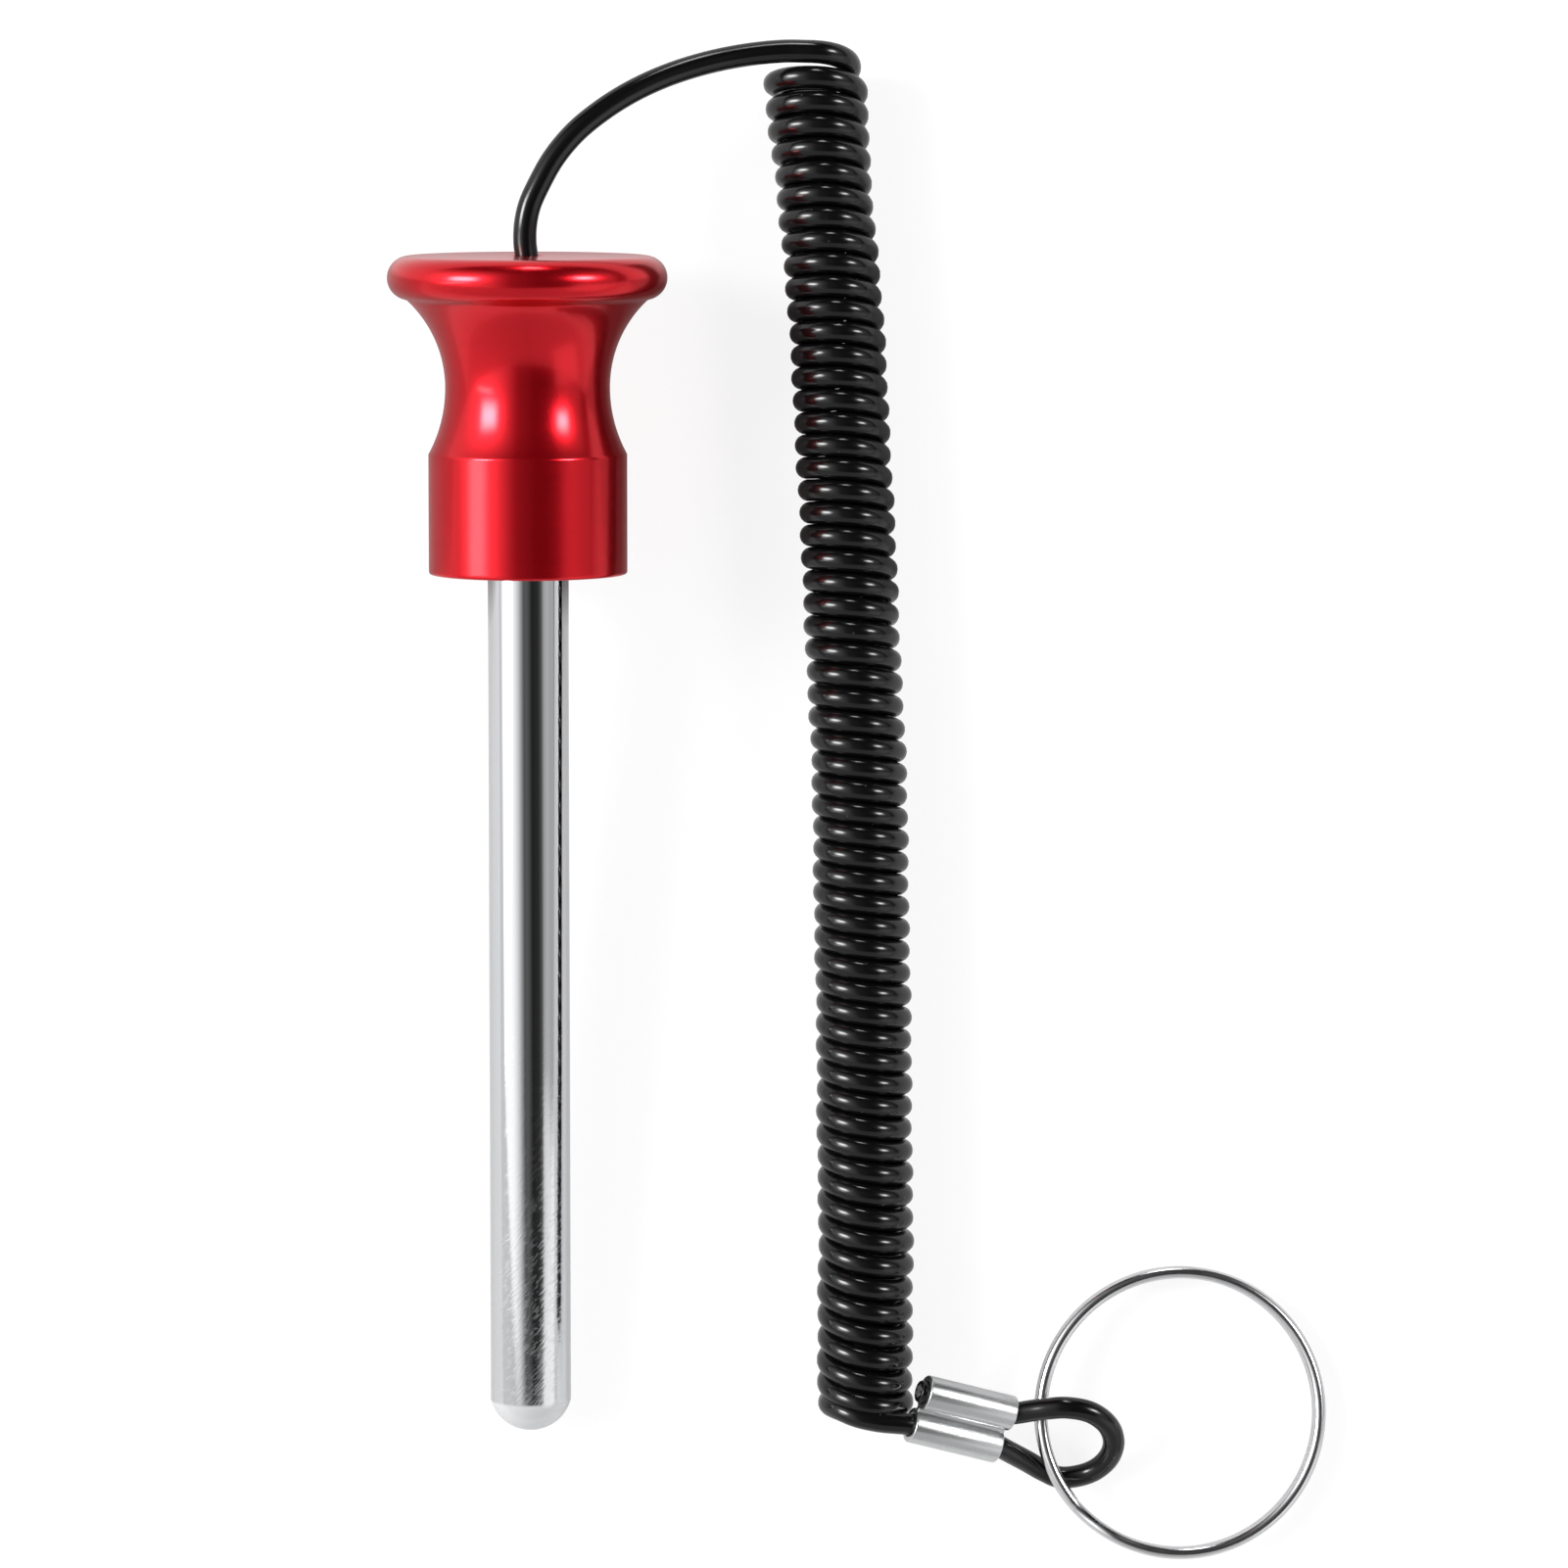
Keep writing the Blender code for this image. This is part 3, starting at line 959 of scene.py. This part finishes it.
ring_plating = plain_metal("plated_spring_wire", "#dcdcde", 0.2, 2.0, 0.01)
magnet_nickel = plain_metal("nickel_plated_magnet", "#bdbbb6", 0.22, 0.8, 0.01)
crimp_steel = plain_metal("plain_crimp_steel", "#8f8f92", 0.4, 0.4, 0.02)
strand_steel = plain_metal("galvanised_strands", "#a9aaad", 0.35, 0.2, 0.02)
print("materials so far:", len(bpy.data.materials))

# %% Drawn aluminium of the sleeve
drawn, tree, shader = new_material("drawn_aluminium")
place = add_node(tree, "ShaderNodeTexCoord")
along_sleeve = [
    add_node(
        tree,
        "ShaderNodeVectorMath",
        {"operation": "DOT_PRODUCT", 1: sleeve_axis},
        {0: place.outputs["Object"]},
    )
    for sleeve_axis in sleeve_axes
]
stretched = add_node(
    tree,
    "ShaderNodeMath",
    {"operation": "MULTIPLY", 1: 0.04},
    {0: along_sleeve[2].outputs["Value"]},
)
draw_space = add_node(
    tree,
    "ShaderNodeCombineXYZ",
    {},
    {
        "X": along_sleeve[0].outputs["Value"],
        "Y": along_sleeve[1].outputs["Value"],
        "Z": stretched.outputs["Value"],
    },
)
draw_lines = add_node(
    tree,
    "ShaderNodeTexNoise",
    {"Scale": 4500.0, "Detail": 3.0, "Roughness": 0.6},
    {"Vector": draw_space.outputs["Vector"]},
)
pits = add_node(
    tree,
    "ShaderNodeTexVoronoi",
    {"Scale": 900.0},
    {"Vector": place.outputs["Object"]},
)
pit_depth = add_node(
    tree,
    "ShaderNodeMapRange",
    {"From Min": 0.0, "From Max": 0.16, "To Min": -1.2, "To Max": 0.0},
    {"Value": pits.outputs["Distance"]},
)
relief = add_node(
    tree,
    "ShaderNodeMath",
    {"operation": "ADD"},
    {0: draw_lines.outputs["Fac"], 1: pit_depth.outputs["Result"]},
)
draw_bump = add_node(
    tree,
    "ShaderNodeBump",
    {"Strength": 0.8, "Distance": 0.012 * MM},
    {"Height": relief.outputs["Value"]},
)
draw_rough = add_node(
    tree,
    "ShaderNodeMapRange",
    {"From Min": 0.3, "From Max": 0.7, "To Min": 0.24, "To Max": 0.36},
    {"Value": draw_lines.outputs["Fac"]},
)
shader.inputs["Base Color"].default_value = linear("#cccdce")
shader.inputs["Metallic"].default_value = 1.0
tree.links.new(draw_rough.outputs["Result"], shader.inputs["Roughness"])
tree.links.new(draw_bump.outputs["Normal"], shader.inputs["Normal"])
print("drawn aluminium nodes:", len(tree.nodes))

# %% [markdown]
# ## The cable's jacket
#
# The jacket is extruded polyurethane, black and glossy. It isn't optically
# flat: a shallow orange peel, about half a millimetre across, breaks up the
# edges of each highlight. A few specks of dust stay on it.

# %% Black polyurethane
jacket, tree, shader = new_material("black_polyurethane")
place = add_node(tree, "ShaderNodeTexCoord")
peel = add_node(
    tree,
    "ShaderNodeTexNoise",
    {"Scale": 1800.0, "Detail": 2.0},
    {"Vector": place.outputs["Object"]},
)
peel_bump = add_node(
    tree,
    "ShaderNodeBump",
    {"Strength": 0.25, "Distance": 0.012 * MM},
    {"Height": peel.outputs["Fac"]},
)
specks = add_node(
    tree,
    "ShaderNodeTexVoronoi",
    {"Scale": 420.0, "Randomness": 1.0},
    {"Vector": place.outputs["Object"]},
)
dust = add_node(
    tree,
    "ShaderNodeMapRange",
    {"From Min": 0.03, "From Max": 0.05, "To Min": 0.35, "To Max": 0.0},
    {"Value": specks.outputs["Distance"]},
)
black = add_node(
    tree,
    "ShaderNodeMix",
    {"data_type": "RGBA", 6: linear("#0b0b0c"), 7: linear("#6e6e6e")},
    {0: dust.outputs["Result"]},
)
tree.links.new(black.outputs[2], shader.inputs["Base Color"])
tree.links.new(peel_bump.outputs["Normal"], shader.inputs["Normal"])
shader.inputs["Roughness"].default_value = 0.17
shader.inputs["IOR"].default_value = 1.45
print("jacket nodes:", len(tree.nodes))

# %% [markdown]
# ## Give each piece its material and its place in the model
#
# Each new piece stands for a plain CAD solid and rides on the same body. Only
# the split ring moves by itself.


# %% Materials and bodies
def dress(piece, surface, body, slot, *nodes):
    """Gives a piece its material, its body and the CAD solids it stands for."""
    piece.data.materials.clear()
    piece.data.materials.append(surface)
    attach(piece, body)
    if nodes:
        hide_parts(*nodes)


dress(turned_knob, anodised, "pin_assembly", "red_anodised", "knob")
dress(chromed_pin, chrome, "pin_assembly", "chromed_pin", "pin")
dress(ring_magnet, magnet_nickel, "pin_assembly", "nickel_magnet", "magnet_ring")
dress(pressed_sleeve, drawn, "pin_assembly", "drawn_aluminium", "ferrule")
dress(cable_core, strand_steel, "pin_assembly", "plain_steel")
dress(split_wire, ring_plating, "ring", "ring_chrome", "split_ring")
dress(
    coiled_cable,
    jacket,
    "pin_assembly",
    "black_jacket",
    "cable_lead",
    "cable_coil",
    "cable_tail",
)
cable_stop = bpy.data.objects[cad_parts["cable_stop"].name]
cable_stop.data.materials.clear()
cable_stop.data.materials.append(crimp_steel)
print("cord declared:", coiled_cable.name)

# %% [markdown]
# ## Table and light
#
# The table is white and plain. To the camera it glows a little, so that it
# ends up white, while the pieces' soft shadows stay on it. To mirror rays it
# also glows: a painted reflection that makes the metals show it a little
# brighter than it is lit. A band of table beside the knob gets no such glow,
# which is painted shade in the reflections and keeps the knob's outline dark.
#
# Metal shows what stands round it, so the light is built for the stripes on
# the pin: a wide soft panel on the left, a weaker one on the right, a dark
# ceiling between them, and the table below. Two small bright lamps give the
# paired highlights on the knob and on each turn of the cable.

# %% White table
# DIM_MID and DIM_HALF place the band of painted shade that the metals mirror beside
# the knob.
DIM_MID, DIM_HALF, BRIGHT_FROM = 42.5 * MM, 20.5 * MM, 26.5 * MM
bpy.ops.mesh.primitive_plane_add(size=2.4, location=(0.03, 0.01, -0.00005))
table = bpy.context.object
table.name = table.data.name = "white_table"
paper, tree, shader = new_material("white_table_paper")
shader.inputs["Roughness"].default_value = 0.9
shader.inputs["Specular IOR Level"].default_value = 0.1
ray = add_node(tree, "ShaderNodeLightPath")
tone = add_node(
    tree,
    "ShaderNodeMix",
    {"data_type": "RGBA", 6: linear("#a6a6a6"), 7: linear("#7a7a7a")},
    {0: ray.outputs["Is Camera Ray"]},
)
tree.links.new(tone.outputs[2], shader.inputs["Base Color"])
to_camera = add_node(
    tree,
    "ShaderNodeMath",
    {"operation": "MULTIPLY", 1: 0.85},
    {0: ray.outputs["Is Camera Ray"]},
)
where = add_node(tree, "ShaderNodeTexCoord")
sides = add_node(
    tree, "ShaderNodeSeparateXYZ", {}, {"Vector": where.outputs["Object"]}
)
from_knob = add_node(
    tree,
    "ShaderNodeMath",
    {"operation": "SUBTRACT", 1: DIM_MID},
    {0: sides.outputs["Y"]},
)
beside_knob = add_node(
    tree, "ShaderNodeMath", {"operation": "ABSOLUTE"}, {0: from_knob.outputs["Value"]}
)
# Painted reflection: mirror rays see the table glow, except in the band beside the
# knob, which stays dim as painted shade.
painted_mirror_glow = add_node(
    tree,
    "ShaderNodeMapRange",
    {"From Min": DIM_HALF, "From Max": BRIGHT_FROM, "To Min": 0.0, "To Max": 0.38},
    {"Value": beside_knob.outputs["Value"]},
)
glow_strength = add_node(
    tree,
    "ShaderNodeMath",
    {"operation": "MULTIPLY_ADD"},
    {
        0: ray.outputs["Is Glossy Ray"],
        1: painted_mirror_glow.outputs["Result"],
        2: to_camera.outputs["Value"],
    },
)
glow = add_node(
    tree,
    "ShaderNodeEmission",
    {"Color": linear("#ffffff")},
    {"Strength": glow_strength.outputs["Value"]},
)
both = add_node(
    tree,
    "ShaderNodeAddShader",
    {},
    {0: shader.outputs["BSDF"], 1: glow.outputs["Emission"]},
)
output = next(n for n in tree.nodes if n.type == "OUTPUT_MATERIAL")
tree.links.new(both.outputs["Shader"], output.inputs["Surface"])
table.data.materials.append(paper)
print("table nodes:", len(tree.nodes))

# %% [markdown]
# ## The studio as a painted sky
#
# The pieces are small and the lamps are far away, so every piece sees the same
# studio. It can therefore be painted on the world, as a function of direction.
# Two angles say where a ray goes: `across` is how far it leans from straight
# up towards +X, and `along` how far it leans towards +Y. One curve over
# `across` gives the soft panels and the dark ceiling between them, which the
# pin shows as its stripes. A pale wall in front lights the knob's hollow, and
# windows with soft edges add the rest: the two lamps, a strip below the left
# one that whitens the pin's left side, a dim panel low on the right, and a
# light behind the knob that glints on its lip.

# %% Directions of the sky
world = bpy.data.worlds.new("painted_studio")
bpy.context.scene.world = world
world.use_nodes = True
sky = world.node_tree
sky.nodes.clear()
direction = add_node(sky, "ShaderNodeTexCoord")
axes = add_node(
    sky, "ShaderNodeSeparateXYZ", {}, {"Vector": direction.outputs["Generated"]}
)


def sky_math(operation, *values, clamp=False):
    """One Math node on the sky's tree. Values are numbers or sockets."""
    node = add_node(sky, "ShaderNodeMath", {"operation": operation})
    node.use_clamp = clamp
    for index, value in enumerate(values):
        if isinstance(value, (int, float)):
            node.inputs[index].default_value = value
        else:
            sky.links.new(value, node.inputs[index])
    return node.outputs["Value"]


def in_degrees(socket):
    """An angle in degrees."""
    return sky_math("MULTIPLY", socket, 180 / math.pi)


across_angle = in_degrees(sky_math("ARCTAN2", axes.outputs["X"], axes.outputs["Z"]))
along_angle = in_degrees(sky_math("ARCSINE", axes.outputs["Y"]))
print("sky nodes so far:", len(sky.nodes))


# %% Soft windows
def soft_step(angle, start, end):
    """0 before start, 1 after end, smooth between them."""
    step = add_node(
        sky,
        "ShaderNodeMapRange",
        {"interpolation_type": "SMOOTHSTEP", "From Min": start, "From Max": end},
        {"Value": angle},
    )
    return step.outputs["Result"]


def window(left, right, near, far, blur, strength, side_blur=None):
    """A bright window on the sky, from left to right and near to far, all in
    degrees. Its left and right edges can have a blur of their own."""
    side_blur = side_blur or blur
    inside = sky_math(
        "MULTIPLY",
        soft_step(across_angle, left - side_blur, left + side_blur),
        soft_step(across_angle, right + side_blur, right - side_blur),
    )
    inside = sky_math(
        "MULTIPLY", inside, soft_step(along_angle, near - blur, near + blur)
    )
    inside = sky_math(
        "MULTIPLY", inside, soft_step(along_angle, far + blur, far - blur)
    )
    return sky_math("MULTIPLY", inside, strength)


# %% Side panels and the dark ceiling
# Each pair is the angle across in degrees and the radiance there.
PANELS = [
    (-180, 1.0),
    (-95, 1.0),
    (-85.8, 1.1),
    (-75.2, 1.26),
    (-65.1, 1.33),
    (-55.6, 1.35),
    (-46.4, 1.28),
    (-37.5, 1.08),
    (-28.9, 0.785),
    (-20.5, 0.41),
    (-12.1, 0.11),
    (-3.8, 0.125),
    (4.5, 0.07),
    (11, 0.02),
    (29, 0.03),
    (38.5, 0.10),
    (47.5, 0.46),
    (56.8, 0.56),
    (66.5, 0.48),
    (76.8, 0.5),
    (81, 0.2),
    (86, 0.05),
    (91, 0.05),
    (93, 1.0),
    (180, 1.0),
]
share = sky_math("MULTIPLY_ADD", across_angle, 1 / 360, 0.5)
profile = add_node(sky, "ShaderNodeFloatCurve", {}, {"Value": share})
curve = profile.mapping.curves[0]
for index, (angle, radiance) in enumerate(PANELS):
    spot = ((angle + 180) / 360, radiance / 2)
    if index in (0, len(PANELS) - 1):
        curve.points[0 if index == 0 else -1].location = spot
    else:
        curve.points.new(*spot)
for point in curve.points:
    point.handle_type = "VECTOR"
profile.mapping.update()
panels = sky_math(
    "MULTIPLY",
    sky_math("MULTIPLY", profile.outputs["Value"], 2.0),
    soft_step(along_angle, 60, 24),
)
print("panel points:", len(curve.points))

# %% The wall in front
minus_y = sky_math("MULTIPLY", axes.outputs["Y"], -1.0)
front_angle = in_degrees(sky_math("ARCTAN2", minus_y, axes.outputs["Z"]))
sideways = sky_math("ABSOLUTE", axes.outputs["X"])
wall = sky_math("MULTIPLY_ADD", sideways, 0.25, 0.5)
in_front = soft_step(front_angle, 30, 38)
between_both = add_node(
    sky, "ShaderNodeMix", {"data_type": "FLOAT"}, {0: in_front, 2: panels, 3: wall}
)
light = between_both.outputs[0]
print("sky nodes with the wall:", len(sky.nodes))

# %% The windows
LEFT_LAMP = (-63, -42, 3, 20, 6, 26.0)
STRIP = (-71, -49, -8.5, -4.5, 1.5, 7.5, 7)
RIGHT_LAMP = (43, 57, 10, 22, 6, 28.0)
LOW_PANEL = (42, 78, -45, -12.5, 2.5, 0.42)
LIGHT_BEHIND = (-8, 28, 70, 84, 4, 12.0)
for sides_and_strength in (LEFT_LAMP, STRIP, RIGHT_LAMP, LOW_PANEL, LIGHT_BEHIND):
    light = sky_math("ADD", light, window(*sides_and_strength))
print("sky nodes:", len(sky.nodes))

# %% World
studio = add_node(
    sky, "ShaderNodeBackground", {"Color": linear("#ffffff")}, {"Strength": light}
)
white = add_node(
    sky, "ShaderNodeBackground", {"Color": linear("#ffffff"), "Strength": 1.0}
)
ray = add_node(sky, "ShaderNodeLightPath")
seen = add_node(
    sky,
    "ShaderNodeMixShader",
    {},
    {
        0: ray.outputs["Is Camera Ray"],
        1: studio.outputs["Background"],
        2: white.outputs["Background"],
    },
)
add_node(sky, "ShaderNodeOutputWorld", {}, {"Surface": seen.outputs["Shader"]})
bpy.context.scene.view_settings.view_transform = "Standard"
print("world:", world.name)
